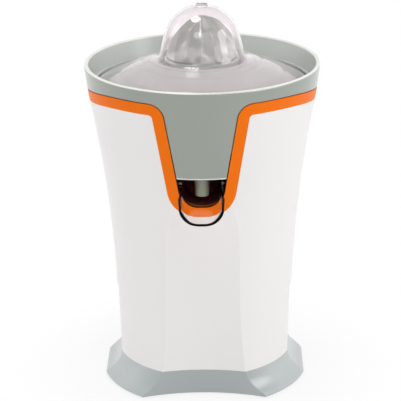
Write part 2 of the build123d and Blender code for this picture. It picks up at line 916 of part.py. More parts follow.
def make_rotor():
    """Rotor core on its steel shaft."""
    core = rod(rotor_radius, stator_low, stator_high)
    return core + rod(axle_radius, rotor_shaft_low, rotor_shaft_high)


def make_rotor_pinion():
    """Ten-tooth pinion on the top of the rotor shaft."""
    top = rotor_pinion_low + rotor_pinion_height
    pinion = gear(rotor_teeth, wheel_module, rotor_pinion_low, top, 90.0)
    return pinion - rod(axle_radius, 0, far)


def make_motor_screws():
    """Two screws that hold the motor can under the gearbox floor."""
    head = box_floor + box_floor_thickness
    tip = box_floor - can_wall - motor_screw_reach
    screws = []
    for x in (-motor_screw_x, motor_screw_x):
        top = rod(motor_screw_head_radius, head, head + motor_screw_head_height, x)
        screws.append(top + rod(screw_radius - screw_gap, tip, head, x))
    return Compound(screws)


# ---------------------------------------------------------------- start switch
def make_micro_switch():
    """Start switch on the gearbox cover, beside the shaft."""
    middle = switch_start + switch_length / 2
    body = Pos(middle, 0, cover_top) * Box(switch_length, switch_width, switch_height, align=UPRIGHT)
    body = fillet(body.edges().filter_by(Axis.Z), switch_round)
    for offset in (0.3, 0.7):
        place = Pos(switch_start + switch_length * offset, 0, cover_top + lug_height)
        body += place * Box(lug_length, switch_width + 2 * lug_reach, lug_thickness, align=UPRIGHT)
    hole_low = cover_top + switch_height - plunger_height + plunger_sunk
    return body - rod(plunger_radius + running_gap, hole_low, far * 2, plunger_x)


def make_switch_plunger():
    """The switch's plunger, just under the thrust collar."""
    top = collar_low - axial_gap
    plunger = rod(plunger_radius, top - plunger_height + plunger_sunk, top, plunger_x)
    return fillet(plunger.edges().sort_by(Axis.Z)[-1], plunger_round)


# ---------------------------------------------------------------- juice side
def rim_round():
    """Round of the rim's two corners, limited by what the lip between its leaning walls has room for."""
    outer_lean = math.atan2(rim_radius - side_radius(skirt_start), rim_height - skirt_start)
    inner_lean = math.atan2(lip_inner_radius - lip_step_radius, rim_height - lip_step_height)
    outer_share = 1 / math.tan((math.pi / 2 - outer_lean) / 2)
    inner_share = 1 / math.tan((math.pi / 2 + inner_lean) / 2)
    return min(lip_round, (lip_thickness - lip_flat) / (outer_share + inner_share))


def make_bowl():
    """Juice bowl: outer skirt with apron, basin, strainer ledge and centre tube."""
    skirt = (barrel(0.0) - barrel(apron_thickness)) & bowl_region & slab(apron_bottom, rim_height)
    basin = barrel(bowl_fit) & slab(bowl_floor, rim_height)
    floor_top = bowl_floor + bowl_floor_thickness
    hollow = turned([
        (0, floor_top),
        (basin_radius_low - basin_corner, floor_top),
        (basin_radius_low, floor_top + basin_corner),
        (basin_radius_high, ledge_z),
        (lid_seat_radius, ledge_z),
        (lid_seat_radius, lip_step_height),
        (lip_step_radius, lip_step_height + lip_step_rise),
        (lip_inner_radius, rim_height + 1),
        (0, rim_height + 1),
    ])
    bowl = (skirt + basin) - hollow
    rim = bowl.edges().filter_by(GeomType.CIRCLE).group_by(Axis.Z)[-1]
    bowl = fillet(rim, rim_round())
    apron_edge = bowl.faces().filter_by(Axis.Z).sort_by(Axis.Z)[0]
    bowl = fillet(apron_edge.edges(), apron_edge_round)
    bowl += tube(foot_ring_radius, foot_ring_radius - foot_ring_wall, deck_top + seat_gap, bowl_floor)
    bowl += rod(centre_tube_radius, bowl_floor, centre_tube_top)
    bowl -= rod(centre_tube_radius - centre_tube_wall, 0, centre_tube_top - centre_tube_wall)
    bowl -= rod(centre_hole_radius, 0, far * 2)
    return bowl - rod(nozzle_bore, 0, far * 2, 0, nozzle_y)


def make_juice_nozzle():
    """Short tube under the bowl's floor that leads the juice down into the trough."""
    return tube(nozzle_radius, nozzle_bore, nozzle_bottom, bowl_floor, 0, nozzle_y)


def make_strainer():
    """Steel strainer: flange on the bowl's ledge, slotted dish and a raised centre collar."""
    low = ledge_z + seat_gap
    t = strainer_thickness
    collar_out = strainer_hole_radius + t
    dish = turned([
        (strainer_radius, low),
        (strainer_radius, low + t),
        (strainer_dish_radius, low + t),
        (strainer_collar_foot, low + t),
        (collar_out, low + t + strainer_collar_rise),
        (collar_out, strainer_collar_top),
        (strainer_hole_radius, strainer_collar_top),
        (strainer_hole_radius, low + strainer_collar_rise),
        (strainer_collar_foot - t / 2, low),
    ])
    length = strainer_slot_end - strainer_slot_start
    middle = (strainer_slot_end + strainer_slot_start) / 2
    slot = extrude(Pos(middle, 0, 0) * SlotOverall(length, strainer_slot_width), far * 2)
    for n in range(strainer_slots):
        dish -= Rot(0, 0, 360.0 * (n + 0.5) / strainer_slots) * slot
    return dish


def make_reamer_cone():
    """Fluted reamer cone, hollow below, with a hexagonal socket for the shaft tip."""
    profile = Spline(
        (cone_base_radius, cone_base + cone_foot_height),
        (cone_mid_radius, cone_mid_height),
        (cone_shoulder_radius, cone_shoulder_height),
        (0, cone_tip),
        tangents=((-0.05, 1), (-1, 0.15)),
    )
    rest = Polyline(
        (0, cone_tip), (0, cone_base), (cone_base_radius, cone_base),
        (cone_base_radius, cone_base + cone_foot_height),
    )
    cone = revolve(Plane.XZ * make_face([profile, rest]), Axis.Z)
    low = Vector(cone_base_radius - flute_depth + flute_radius, 0, cone_base + flute_start)
    high = Vector(cone_shoulder_radius - flute_depth + flute_radius + 1.0, 0, cone_shoulder_height)
    along = (high - low).normalized()
    groove = Plane(origin=low, z_dir=along) * Cylinder(
        flute_radius, 2 * (high - low).length, align=UPRIGHT
    )
    groove += Pos(low) * Sphere(flute_radius)
    for n in range(cone_flutes):
        cone -= Rot(0, 0, cone_turn - 90.0 + 360.0 * (n + 0.5) / cone_flutes) * groove
    cone -= turned([
        (0, cone_base - 1), (cone_cavity_radius, cone_base - 1),
        (cone_cavity_radius, cone_base), (cone_cavity_radius - cone_cavity_taper, cone_cavity_top),
        (0, cone_cavity_top),
    ])
    cone += rod(cone_hub_radius, cone_hub_bottom, cone_hub_top)
    return cone - hexagon(shaft_flats + running_gap, 0, shaft_tip)


def lid_outline(inset):
    """Half section of the lid from its top to the brim's edge, moved in by inset."""
    r = dome_radius - inset
    slope = math.atan2(dome_foot_radius - dome_radius * dome_side_start, dome_side_height)
    bend = (r * math.cos(slope), dome_centre_height + r * math.sin(slope))
    mid = (r * math.sin(dome_arc_turn), dome_centre_height + r * math.cos(dome_arc_turn))
    dome = ThreePointArc((0, dome_centre_height + r), mid, bend)
    foot = (dome_foot_radius - inset, dome_foot_height)
    brim = (brim_start_radius - inset / 2, brim_start_height - inset)
    side = Polyline(bend, foot, brim)
    edge = (brim_radius - inset / 2, brim_height - inset)
    middle = (brim_mid_radius - inset / 2, brim_mid_height - inset)
    return dome, side, ThreePointArc(brim, middle, edge), edge


def make_lid():
    """Clear dust lid: tall centre dome, shallow brim and a short edge inside the bowl's lip."""
    dome, side, brim, edge = lid_outline(0.0)
    inner_dome, inner_side, inner_brim, inner_edge = lid_outline(lid_wall)
    low = ledge_z + 2 * seat_gap + strainer_thickness
    top, inner_top = dome @ 0, inner_dome @ 0
    inner = brim_radius - lid_wall
    rim = Polyline(edge, (edge[0], low), (inner, low), (inner, inner_edge[1]), inner_edge)
    outline = [dome, side, brim, rim, inner_brim, inner_side, inner_dome, Line(inner_top, top)]
    lid = revolve(Plane.XZ * make_face(outline), Axis.Z)
    crown = dome_centre_height + dome_radius
    return lid + rod(nub_radius, crown - lid_wall, crown + nub_height)


# ---------------------------------------------------------------- spout trough
def hinge_turned(outline, angle):
    """Turns an outline about the spout's hinge line."""
    return revolve(front_plane(hinge_y) * outline, Axis((0, hinge_y, hinge_z), (1, 0, 0)), angle)


def channel_outline(inset, top):
    """Cross-section of the trough: the opening's rounded bottom with upright sides."""
    upright = Rectangle(2 * (trough_half_width - inset), 4 * far)
    return opening_outline(-trough_gap - inset, top) & upright


def channel(inset, y_front):
    """Trough channel inside the pocket: straight in front of the hinge, turned behind it."""
    straight = extrude(
        front_plane(hinge_y) * channel_outline(inset, hinge_z + far), hinge_y - y_front
    )
    return straight + hinge_turned(channel_outline(inset, hinge_z), trough_back_angle)


def across(outline):
    """A side view outline pushed out to both sides."""
    return extrude(Plane.YZ * outline, far, both=True)


def tongue(inset, past_tip):
    """Pouring tongue in front of the body: the channel's section led forwards and down."""
    run = tongue_back - trough_tip_y
    reach = math.hypot(run, tongue_drop) * (1 + past_tip / run)
    section = front_plane(tongue_back) * channel_outline(inset, hinge_z + far)
    return extrude(section, reach, dir=(0, -run, -tongue_drop))


def make_spout_trough():
    """Clear tilting trough: a rounded channel on two hinge pins and a pouring tongue."""
    below_rim = slab(0, trough_rim)
    ears = across(Pos(hinge_y, hinge_z) * Circle(ear_radius))
    reach = channel(0.0, tongue_back) & (below_rim + ears)
    reach -= Pos(0, hinge_y + ear_radius + far / 2, hinge_z) * Box(far, far, far, align=UPRIGHT)
    shape = reach + (tongue(0.0, 0.0) & below_rim)
    shape -= channel(trough_wall, tongue_back)
    shape -= tongue(trough_wall, 1.0)
    return shape - across(Pos(hinge_y, hinge_z) * Circle(pin_radius + running_gap))


def make_spout_pins():
    """Two short hinge pins in the pocket's side walls."""
    inner = trough_half_width - trough_wall + running_gap
    outer = opening_half(hinge_z, pocket_wall) - pin_end_gap
    pin = extrude(Plane.YZ * Pos(hinge_y, hinge_z) * Circle(pin_radius), outer - inner)
    right = Pos(inner, 0, 0) * pin
    return Compound([right, mirror(right, Plane.YZ)])


# ---------------------------------------------------------------- write every sub-part
save("body_shell", make_body_shell())
save("orange_trim", make_orange_trim())
save("base_shell", make_base_shell())
save("cord_inlet", make_cord_inlet())
save("bottom_plate", make_bottom_plate())
save("rubber_feet", make_rubber_feet())
save("bottom_screws", make_bottom_screws())
save("spout_pocket", make_spout_pocket())
save("top_deck", make_top_deck())
save("deck_screws", make_deck_screws())
save("gearbox_housing", make_gearbox_housing())
save("gearbox_cover", make_gearbox_cover())
save("gear_bush", make_gear_bush())
save("output_gear", make_output_gear())
save("gear_clip", make_gear_clip())
save("idler_gear", make_idler_gear())
save("idler_axle", make_idler_axle())
save("gearbox_screws", make_gearbox_screws())
save("drive_shaft", make_drive_shaft())
save("return_spring", make_return_spring())
save("deck_bush", make_deck_bush())
save("shaft_seal", make_shaft_seal())
save("motor_can", make_motor_can())
save("motor_bushes", make_motor_bushes())
save("motor_end_cap", make_motor_end_cap())
save("stator_core", make_stator_core())
save("stator_windings", make_stator_windings())
save("rotor", make_rotor())
save("rotor_pinion", make_rotor_pinion())
save("motor_screws", make_motor_screws())
save("micro_switch", make_micro_switch())
save("switch_plunger", make_switch_plunger())
save("juice_bowl", make_bowl())
save("juice_nozzle", make_juice_nozzle())
save("strainer", make_strainer())
save("reamer_cone", make_reamer_cone())
save("lid", make_lid())
save("spout_trough", make_spout_trough())
save("spout_pins", make_spout_pins())
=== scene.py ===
import math

import bpy
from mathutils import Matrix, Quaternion, Vector


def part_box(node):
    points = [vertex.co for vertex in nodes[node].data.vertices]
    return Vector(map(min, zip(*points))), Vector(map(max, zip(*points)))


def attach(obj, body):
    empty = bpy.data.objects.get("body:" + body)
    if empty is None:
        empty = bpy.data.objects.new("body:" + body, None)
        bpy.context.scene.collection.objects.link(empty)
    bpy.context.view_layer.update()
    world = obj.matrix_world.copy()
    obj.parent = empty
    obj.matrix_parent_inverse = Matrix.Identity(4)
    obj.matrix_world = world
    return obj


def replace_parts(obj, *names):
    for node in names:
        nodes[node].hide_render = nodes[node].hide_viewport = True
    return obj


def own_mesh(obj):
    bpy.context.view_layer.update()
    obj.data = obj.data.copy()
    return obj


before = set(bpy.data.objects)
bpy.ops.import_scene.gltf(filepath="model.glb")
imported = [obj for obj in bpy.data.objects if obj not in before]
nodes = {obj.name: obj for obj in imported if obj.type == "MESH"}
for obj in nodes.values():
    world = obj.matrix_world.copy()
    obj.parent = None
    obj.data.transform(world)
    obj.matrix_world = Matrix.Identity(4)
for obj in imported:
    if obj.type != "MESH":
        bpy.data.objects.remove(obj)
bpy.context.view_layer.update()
MM = 0.001
SHARP_ANGLE = math.radians(38)


# ------------------------------------------------------------------ shader helpers
def colour(r, g, b):
    """A colour given as it should appear, 0 to 255."""
    def linear(v):
        v = v / 255.0
        return v / 12.92 if v <= 0.04045 else ((v + 0.055) / 1.055) ** 2.4
    return (linear(r), linear(g), linear(b), 1.0)


class Paint:
    """A Principled material with procedural detail in object space, in metres."""

    def __init__(self, name, base, rough, **sockets):
        self.mat = bpy.data.materials.new(name)
        self.mat.use_nodes = True
        self.tree = self.mat.node_tree
        self.tree.nodes.clear()
        self.out = self.node("ShaderNodeOutputMaterial")
        self.bsdf = self.node("ShaderNodeBsdfPrincipled")
        self.tree.links.new(self.bsdf.outputs["BSDF"], self.out.inputs["Surface"])
        self.coord = self.node("ShaderNodeTexCoord")
        self.base = base
        self.bsdf.inputs["Base Color"].default_value = base
        self.bsdf.inputs["Roughness"].default_value = rough
        for key, value in sockets.items():
            self.bsdf.inputs[key.replace("_", " ")].default_value = value
        self.tone = None
        self.normal = None

    def node(self, kind, **settings):
        """A new node with its settings."""
        made = self.tree.nodes.new(kind)
        for key, value in settings.items():
            setattr(made, key, value)
        return made

    def link(self, a, b):
        self.tree.links.new(a, b)

    def space(self, scale):
        """Object coordinates stretched by (x, y, z)."""
        mapping = self.node("ShaderNodeMapping")
        mapping.inputs["Scale"].default_value = scale
        self.link(self.coord.outputs["Object"], mapping.inputs["Vector"])
        return mapping.outputs["Vector"]

    def noise(self, scale, detail, stretch):
        """Noise in object space."""
        made = self.node("ShaderNodeTexNoise")
        made.inputs["Scale"].default_value = scale
        made.inputs["Detail"].default_value = detail
        self.link(self.space(stretch), made.inputs["Vector"])
        return made.outputs["Fac"]

    def ramp(self, value, low, high, start=0.3, end=0.7):
        """Low below start and high beyond end, with a straight rise between."""
        made = self.node("ShaderNodeMapRange")
        made.inputs["From Min"].default_value = start
        made.inputs["From Max"].default_value = end
        made.inputs["To Min"].default_value = low
        made.inputs["To Max"].default_value = high
        self.link(value, made.inputs["Value"])
        return made.outputs["Result"]

    def blend(self, value, other):
        """Mixes another colour over the base by value."""
        mix = self.node("ShaderNodeMix", data_type="RGBA")
        if self.tone is None:
            mix.inputs[6].default_value = self.base
        else:
            self.link(self.tone, mix.inputs[6])
        mix.inputs[7].default_value = other
        self.link(value, mix.inputs[0])
        self.tone = mix.outputs[2]
        self.link(self.tone, self.bsdf.inputs["Base Color"])
        return self

    def mottle(self, amount, scale, stretch=(1, 1, 1)):
        """Slow change of tone across the moulding."""
        darker = tuple(v * (1 - amount) for v in self.base[:3]) + (1.0,)
        return self.blend(self.ramp(self.noise(scale, 2.0, stretch), 0.0, 1.0), darker)

    def bump(self, value, distance):
        """Adds relief to the normal."""
        made = self.node("ShaderNodeBump")
        made.inputs["Distance"].default_value = distance
        self.link(value, made.inputs["Height"])
        if self.normal is not None:
            self.link(self.normal, made.inputs["Normal"])
        self.normal = made.outputs["Normal"]
        self.link(self.normal, self.bsdf.inputs["Normal"])
        return self

    def grain(self, scale, distance, stretch=(1, 1, 1)):
        """Fine surface texture."""
        return self.bump(self.noise(scale, 2.0, stretch), distance)

    def polish(self, low, high, scale, stretch=(1, 1, 1)):
        """Roughness that wanders between two values."""
        self.link(self.ramp(self.noise(scale, 3.0, stretch), low, high), self.bsdf.inputs["Roughness"])
        return self

    def height(self):
        """The Z of the surface, in metres."""
        split = self.node("ShaderNodeSeparateXYZ")
        self.link(self.coord.outputs["Object"], split.inputs["Vector"])
        return split.outputs["Z"]

    def band(self, low, high):
        """0 before low and 1 beyond high in height, in metres."""
        return self.ramp(self.height(), 0.0, 1.0, low, high)

    def radius(self):
        """The distance of the surface from the upright axis, in metres."""
        made = self.node("ShaderNodeVectorMath", operation="LENGTH")
        self.link(self.space((1, 1, 0)), made.inputs[0])
        return made.outputs["Value"]

    def facing(self):
        """0 seen square on and 1 seen edge on."""
        return self.node("ShaderNodeLayerWeight").outputs["Facing"]

    def combine(self, operation, first, second):
        """One value from two, by a Math node."""
        made = self.node("ShaderNodeMath", operation=operation)
        self.link(first, made.inputs[0])
        self.link(second, made.inputs[1])
        return made.outputs["Value"]

    def clear_shadow(self, amount):
        """Lets light through for shadow rays, as thin clear plastic does."""
        path = self.node("ShaderNodeLightPath")
        through = self.node("ShaderNodeBsdfTransparent")
        mix = self.node("ShaderNodeMixShader")
        self.link(path.outputs["Is Shadow Ray"], mix.inputs["Fac"])
        self.link(self.bsdf.outputs["BSDF"], mix.inputs[1])
        self.link(through.outputs["BSDF"], mix.inputs[2])
        through.inputs["Color"].default_value = (amount, amount, amount, 1.0)
        self.link(mix.outputs["Shader"], self.out.inputs["Surface"])
        return self


def dress(paint, *names):
    """Gives a material to CAD nodes."""
    for name in names:
        mesh = nodes[name].data
        mesh.materials.clear()
        mesh.materials.append(paint.mat)


# ------------------------------------------------------------------ materials
white = Paint("white_moulding", colour(231, 228, 228), 0.3)
white.mottle(0.008, 9.0).grain(900.0, 0.000002).polish(0.28, 0.32, 14.0)

orange = Paint("orange_moulding", colour(238, 112, 2), 0.38, Specular_IOR_Level=0.12)
orange.mottle(0.05, 30.0).grain(900.0, 0.000002).polish(0.34, 0.42, 40.0)

grey = Paint("grey_moulding", colour(154, 162, 161), 0.3, Coat_Weight=0.6, Coat_Roughness=0.2)
grey.mottle(0.02, 12.0, (1, 1, 0.5)).grain(900.0, 0.000002).polish(0.27, 0.33, 16.0)
# Painted sheen: the base is painted lighter where it is seen edge on, in place of the bright
# surroundings reflected at glancing angles.
grey.blend(grey.ramp(grey.facing(), 0.0, 1.0, 0.05, 0.3), colour(178, 184, 184))

bowl_grey = Paint("bowl_moulding", colour(144, 150, 142), 0.3, Coat_Weight=0.8, Coat_Roughness=0.2)
bowl_grey.mottle(0.02, 12.0, (1, 1, 0.5)).grain(900.0, 0.000002).polish(0.27, 0.33, 16.0)
painted_edge_highlight = colour(240, 241, 232)
# Painted light: the inner wall above the ledge is painted lighter, in place of the light that falls into
# the bowl; inside and out are one moulding.
inside = bowl_grey.ramp(bowl_grey.radius(), 1.0, 0.0, 0.0872, 0.0876)
inside = bowl_grey.combine("MULTIPLY", inside, bowl_grey.band(0.2372, 0.2376))
bowl_grey.blend(inside, colour(188, 193, 188))
# Painted highlight: a light band along the rounded rim lip at the top.
bowl_grey.blend(bowl_grey.band(0.2529, 0.2535), painted_edge_highlight)
# Painted highlight: the same light band along the apron's rounded bottom edge.
bowl_grey.blend(bowl_grey.band(0.1864, 0.1856), painted_edge_highlight)

nozzle_grey = Paint("nozzle_moulding", colour(138, 142, 124), 0.3, Coat_Weight=0.5, Coat_Roughness=0.2)
nozzle_grey.mottle(0.03, 20.0).grain(900.0, 0.000002).polish(0.27, 0.33, 16.0)

black = Paint("black_moulding", colour(62, 8, 14), 0.42, Specular_IOR_Level=0.2)
black.mottle(0.3, 40.0).grain(900.0, 0.000004).polish(0.36, 0.5, 60.0)

smoke = Paint(
    "clear_trough", colour(250, 244, 240), 0.05, Transmission_Weight=1.0, IOR=1.42,
    Coat_Weight=0.5, Coat_Roughness=0.03, Coat_IOR=1.6,
)
smoke.polish(0.03, 0.12, 70.0).grain(160.0, 0.00001).clear_shadow(1.0)

# Painted shade: the clear trough's front edge looks dark, and a dark opaque ribbon stands in for it.
painted_rim_shade = Paint("painted_trough_edge_shade", colour(10, 6, 6), 0.6, Specular_IOR_Level=0.1)
painted_rim_shade.mottle(0.4, 150.0).polish(0.5, 0.7, 200.0)

lid_clear = Paint(
    "clear_lid", colour(254, 249, 251), 0.05, Transmission_Weight=0.93, IOR=1.3,
    Coat_Weight=0.5, Coat_Roughness=0.03,
)
lid_clear.blend(lid_clear.band(0.2570, 0.2550), colour(234, 228, 229))
lid_clear.polish(0.03, 0.08, 20.0).clear_shadow(0.97)
brim_haze = lid_clear.ramp(lid_clear.height(), 0.59, 0.95, 0.2550, 0.2568)
# Painted highlight: the brim's outer edge is made nearly opaque, so it shows as a white line.
painted_brim_edge_highlight = lid_clear.ramp(lid_clear.height(), 0.12, 1.0, 0.2382, 0.2387)
# Painted sheen: the lid lets less light through where it is seen edge on, so its sides show pale bands
# in place of reflections.
painted_side_sheen = lid_clear.ramp(lid_clear.facing(), 0.95, 0.35, 0.5, 1.0)
# The brim's own haze, together with the painted edge highlight and side sheen.
haze_and_painted_sheen = lid_clear.combine("MINIMUM", lid_clear.combine("MINIMUM", brim_haze, painted_brim_edge_highlight), painted_side_sheen)
lid_clear.link(haze_and_painted_sheen, lid_clear.bsdf.inputs["Transmission Weight"])

cone_grey = Paint("cone_moulding", colour(100, 106, 98), 0.16, Coat_Weight=1.0, Coat_Roughness=0.05)
cone_grey.mottle(0.03, 20.0).grain(900.0, 0.000002).polish(0.12, 0.2, 30.0)

sheet = Paint("brushed_steel", colour(150, 146, 145), 0.5, Metallic=1.0, Anisotropic=0.5)
sheet.mottle(0.12, 900.0, (1, 0.04, 1)).polish(0.45, 0.57, 700.0, (1, 0.04, 1))
sheet.grain(1500.0, 0.000008, stretch=(1, 0.04, 1))

bar = Paint("ground_steel", colour(178, 178, 180), 0.25, Metallic=1.0)
bar.mottle(0.15, 500.0, (0.3, 0.3, 4)).polish(0.18, 0.36, 900.0, (0.2, 0.2, 4))
bar.grain(1200.0, 0.000008, stretch=(0.2, 0.2, 4))

pin_steel = Paint("pin_steel", colour(62, 56, 54), 0.45, Metallic=0.8)
pin_steel.mottle(0.15, 500.0).polish(0.34, 0.46, 600.0)

zinc = Paint("zinc_plate", colour(200, 202, 206), 0.28, Metallic=1.0)
zinc.mottle(0.12, 250.0).polish(0.2, 0.4, 400.0).grain(1500.0, 0.00001)

can = Paint("painted_can", colour(92, 95, 98), 0.45, Metallic=0.3)
can.mottle(0.18, 60.0).polish(0.38, 0.55, 200.0).grain(1800.0, 0.00002)

core = Paint("laminated_core", colour(84, 84, 88), 0.5, Metallic=0.7)
layers = core.node("ShaderNodeTexWave", bands_direction="Z")
layers.inputs["Scale"].default_value = 320.0
layers.inputs["Distortion"].default_value = 0.6
core.link(core.space((1, 1, 1)), layers.inputs["Vector"])
core.blend(core.ramp(layers.outputs["Fac"], 0.0, 0.7), colour(44, 42, 44))
core.bump(layers.outputs["Fac"], 0.00012).polish(0.4, 0.6, 300.0)

copper = Paint("enamelled_wire", colour(190, 98, 50), 0.3, Metallic=0.9, Coat_Weight=0.6)
turns = copper.node("ShaderNodeTexWave", wave_type="RINGS", rings_direction="Z")
turns.inputs["Scale"].default_value = 420.0
turns.inputs["Distortion"].default_value = 2.0
turns.inputs["Detail Scale"].default_value = 3.0
copper.link(copper.space((1, 1, 1)), turns.inputs["Vector"])
copper.blend(copper.ramp(turns.outputs["Fac"], 0.0, 0.7), colour(112, 48, 22))
copper.bump(turns.outputs["Fac"], 0.0003).polish(0.25, 0.42, 300.0)

bronze = Paint("sintered_bronze", colour(168, 134, 82), 0.5, Metallic=0.9)
bronze.mottle(0.25, 900.0).polish(0.4, 0.6, 900.0).grain(2500.0, 0.00003)

nylon = Paint("natural_nylon", colour(228, 222, 204), 0.42, Subsurface_Weight=0.1)
nylon.mottle(0.06, 60.0).polish(0.34, 0.5, 150.0).grain(900.0, 0.00001)

inner = Paint("inner_moulding", colour(122, 126, 128), 0.5)
inner.mottle(0.1, 40.0).polish(0.42, 0.6, 120.0).grain(1600.0, 0.00003)

rubber = Paint("black_rubber", colour(40, 40, 40), 0.75)
rubber.mottle(0.3, 90.0).polish(0.66, 0.85, 200.0).grain(2200.0, 0.00005)

seal = Paint("seal_rubber", colour(142, 66, 48), 0.55)
seal.mottle(0.2, 150.0).polish(0.45, 0.66, 200.0).grain(1800.0, 0.00003)

switch_black = Paint("switch_body", colour(44, 44, 47), 0.45)
switch_black.mottle(0.2, 200.0).polish(0.36, 0.55, 300.0).grain(2000.0, 0.00003)

switch_red = Paint("switch_plunger", colour(186, 40, 32), 0.35)
switch_red.mottle(0.15, 300.0).polish(0.28, 0.45, 300.0).grain(1500.0, 0.00002)

dress(white, "body_shell")
dress(orange, "orange_trim")
dress(grey, "base_shell")
dress(nozzle_grey, "juice_nozzle")
dress(bowl_grey, "juice_bowl")
dress(black, "spout_pocket")
dress(smoke, "spout_trough")
dress(sheet, "strainer")
dress(pin_steel, "spout_pins")
dress(bar, "drive_shaft", "idler_axle", "rotor", "gear_clip", "return_spring")
dress(zinc, "bottom_screws", "deck_screws", "gearbox_screws", "motor_screws")
dress(can, "motor_can")
dress(core, "stator_core")
dress(copper, "stator_windings")
dress(bronze, "gear_bush", "deck_bush", "motor_bushes", "rotor_pinion")
dress(nylon, "idler_gear", "output_gear")
dress(inner, "bottom_plate", "top_deck", "gearbox_housing", "gearbox_cover", "motor_end_cap")
dress(rubber, "rubber_feet", "cord_inlet")
dress(seal, "shaft_seal")
dress(switch_black, "micro_switch")
dress(switch_red, "switch_plunger")


# ------------------------------------------------------------------ mesh helpers
def piece(name, points, faces, paint, body, smooth=True):
    """A mesh piece in millimetres that rides on a body."""
    mesh = bpy.data.meshes.new(name)
    mesh.from_pydata([(x * MM, y * MM, z * MM) for x, y, z in points], [], faces)
    mesh.validate()
    mesh.update()
    mesh.materials.append(paint.mat)
    obj = bpy.data.objects.new(name, mesh)
    bpy.context.scene.collection.objects.link(obj)
    for face in mesh.polygons:
        face.use_smooth = smooth
    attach(obj, body)
    return obj


def lathe(profile, around):
    """Points and faces of (radius, height) points turned about Z. A zero radius is one point."""
    points, rows, faces = [], [], []
    for radius, z in profile:
        if radius < 1e-6:
            points.append((0.0, 0.0, z))
            rows.append([len(points) - 1] * around)
            continue
        start = len(points)
        for n in range(around):
            turn = 2 * math.pi * n / around
            points.append((radius * math.cos(turn), radius * math.sin(turn), z))
        rows.append(list(range(start, start + around)))
    for low, high in zip(rows, rows[1:]):
        for n in range(around):
            m = (n + 1) % around
            corners = [low[n], high[n], high[m], low[m]]
            unique = [v for k, v in enumerate(corners) if v not in corners[:k]]
            if len(unique) > 2:
                faces.append(unique)
    return points, faces


def smooth_line(points, steps):
    """Points along a Catmull-Rom curve through the given points."""
    padded = [points[0]] + list(points) + [points[-1]]
    line = []
    for a, b, c, d in zip(padded, padded[1:], padded[2:], padded[3:]):
        for k in range(steps):
            t = k / steps
            line.append(tuple(
                0.5 * (2 * q + (r - p) * t + (2 * p - 5 * q + 4 * r - s) * t * t
                       + (3 * q - p - 3 * r + s) * t ** 3)
                for p, q, r, s in zip(a, b, c, d)
            ))
    line.append(tuple(points[-1]))
    return line


def resample(line, count):
    """The same line with evenly spaced points."""
    lengths = [0.0]
    for a, b in zip(line, line[1:]):
        lengths.append(lengths[-1] + math.dist(a, b))
    result, k = [], 0
    for n in range(count):
        want = lengths[-1] * n / (count - 1)
        while k < len(lengths) - 2 and lengths[k + 1] < want:
            k += 1
        span = lengths[k + 1] - lengths[k] or 1.0
        t = (want - lengths[k]) / span
        result.append(tuple(p + (q - p) * t for p, q in zip(line[k], line[k + 1])))
    return result


# ------------------------------------------------------------------ reamer cone
CONE_BASE, CONE_FOOT, CONE_TOP = 251.5, 257.6, 289.2
CONE_RINGS = 64
CONE_COLUMNS = 14  # between one rib and the next
CONE_TURN = 21.0 - 90.0
FLUTE_DEPTH, FLUTE_FULL_RADIUS = 3.9, 13.0
FLUTE_INWARD, FLUTE_DOWN = 0.92, 0.38
HUB_BOTTOM, SOCKET_END = 240.4, 268.0
SOCKET_FLAT = 4.0 * math.cos(math.radians(30)) + 0.05


